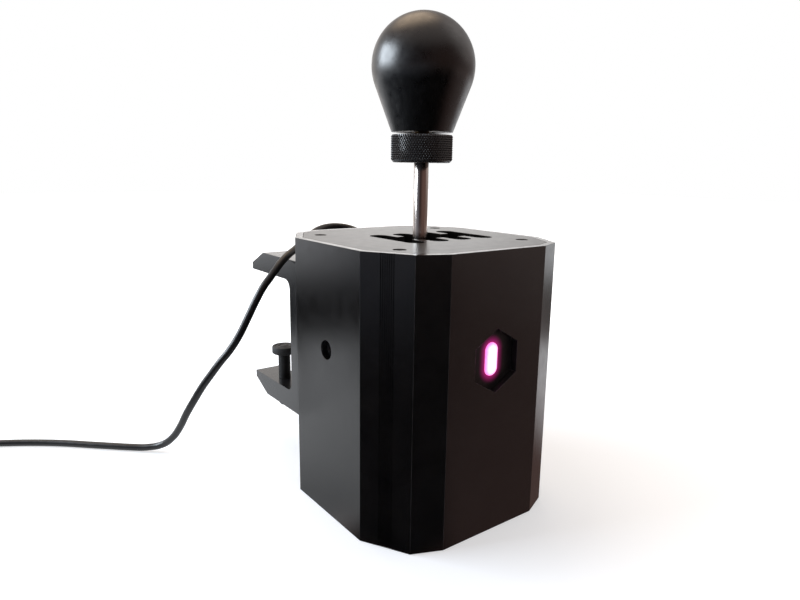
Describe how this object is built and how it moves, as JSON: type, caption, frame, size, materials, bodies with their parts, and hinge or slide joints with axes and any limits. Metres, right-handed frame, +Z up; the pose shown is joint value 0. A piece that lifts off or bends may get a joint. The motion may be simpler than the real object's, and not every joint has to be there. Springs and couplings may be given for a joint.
{
  "type": "racing game gear shifter",
  "caption": "Table-clamped gear shifter: tall faceted black body, slotted gate plate, steel lever with bulb knob and knurled collar, sprung two-axis pivot, screw clamps and a plug lead.",
  "frame": {"origin": "middle of the flat underside of the base, on the lever's axis", "axes": "+X to the right across the front face, +Y towards the clamp at the rear, +Z up along the lever in neutral"},
  "size_m": [0.3528, 0.2734, 0.2623],
  "materials": {
    "black_anodised": "bead-blasted black anodised",
    "gate_black": "fine satin black anodised",
    "dark_alloy": "dark anodised sheet",
    "bare_alloy": "machined",
    "collar_black": "black anodised, diamond knurled",
    "black_steel": "black oxide",
    "plain_steel": "zinc plated",
    "polished_steel": "polished",
    "spring_steel": "drawn wire",
    "plug_metal": "nickel plated",
    "magnet": "nickel plated",
    "bronze": "machined",
    "circuit_board": "solder mask over glass fibre",
    "dark_plastic": "moulded",
    "spacer_plastic": "machined",
    "light_lens": "lit from behind",
    "knob_black": "satin",
    "cable_rubber": "smooth sheath",
    "pad_rubber": "moulded",
    "strap_fabric": "hook-and-loop strap"
  },
  "bodies": {
    "housing": {"body_shell": "black_anodised", "gate_plate": "gate_black", "gate_screws": "black_steel", "base_plate": "black_anodised", "base_screws": "black_steel", "front_bearing_block": "bare_alloy", "rear_bearing_block": "bare_alloy", "block_screws": "plain_steel", "select_bushes": "bronze", "adjuster_sleeves": "bare_alloy", "spring_adjusters": "black_steel", "centring_springs": "spring_steel", "badge_plate": "dark_plastic", "badge_lens": "light_lens", "led_board": "circuit_board", "main_board": "circuit_board", "board_chips": "dark_plastic", "board_standoffs": "bronze", "board_screws": "plain_steel", "select_sensor_board": "circuit_board", "clamp_plate": "black_anodised", "clamp_nut_bars": "plain_steel", "clamp_plate_screws": "black_steel", "arm_screws": "black_steel", "clamp_arm_left": "black_anodised", "clamp_arm_right": "black_anodised", "cable_gland": "cable_rubber", "gland_nut": "dark_plastic", "inner_lead": "cable_rubber", "cable_lead": "cable_rubber", "cable_coil": "cable_rubber", "cable_tie": "strap_fabric", "usb_plug_body": "dark_plastic", "usb_plug_shell": "plug_metal"},
    "selector": {"selector_ring": "bare_alloy", "select_pins": "plain_steel", "axle_bushes": "bronze", "yoke_left": "dark_alloy", "yoke_right": "dark_alloy", "yoke_screws": "plain_steel", "detent_cradle": "bare_alloy", "cradle_screws": "plain_steel", "select_magnet": "magnet", "shift_sensor_board": "circuit_board"},
    "lever": {"lever_hub": "bare_alloy", "shift_axle": "plain_steel", "axle_spacers": "spacer_plastic", "axle_clips": "black_steel", "shift_magnet": "magnet", "detent_spring": "spring_steel", "detent_ball": "plain_steel", "shift_rod": "polished_steel", "rod_lock_nut": "plain_steel", "knob_insert": "bronze", "knob": "knob_black", "knob_collar": "collar_black"},
    "left_pad": {"clamp_pad_left": "pad_rubber"},
    "left_screw": {"clamp_screw_left": "black_steel"},
    "right_pad": {"clamp_pad_right": "pad_rubber"},
    "right_screw": {"clamp_screw_right": "black_steel"}
  },
  "joints": [
    {"name": "select", "type": "hinge", "parent": "housing", "child": "selector", "pos_m": [0, 0, 0.044], "axis": [0, 1, 0], "range_deg": [-9.1, 17.7], "stiffness_Nm_per_rad": 1.5, "deforming": ["centring_springs"]},
    {"name": "shift", "type": "hinge", "parent": "selector", "child": "lever", "pos_m": [0, 0, 0.044], "axis": [1, 0, 0], "range_deg": [-8.6, 8.6]},
    {"name": "left_pad_slide", "type": "slide", "parent": "housing", "child": "left_pad", "axis": [0, 0, 1], "range_m": [-0.016, 0.01]},
    {"name": "left_screw_turn", "type": "hinge", "parent": "left_pad", "child": "left_screw", "pos_m": [-0.0325, 0.10405, 0.06], "axis": [0, 0, 1], "range_deg": [-4612, 2884]},
    {"name": "right_pad_slide", "type": "slide", "parent": "housing", "child": "right_pad", "axis": [0, 0, 1], "range_m": [-0.016, 0.01]},
    {"name": "right_screw_turn", "type": "hinge", "parent": "right_pad", "child": "right_screw", "pos_m": [0.0325, 0.10405, 0.06], "axis": [0, 0, 1], "range_deg": [-4612, 2884]}
  ],
  "couplings": [
    {"joint": "left_screw_turn", "follows": "left_pad_slide", "rad_per_m": 5026.5},
    {"joint": "right_screw_turn", "follows": "right_pad_slide", "rad_per_m": 5026.5}
  ]
}
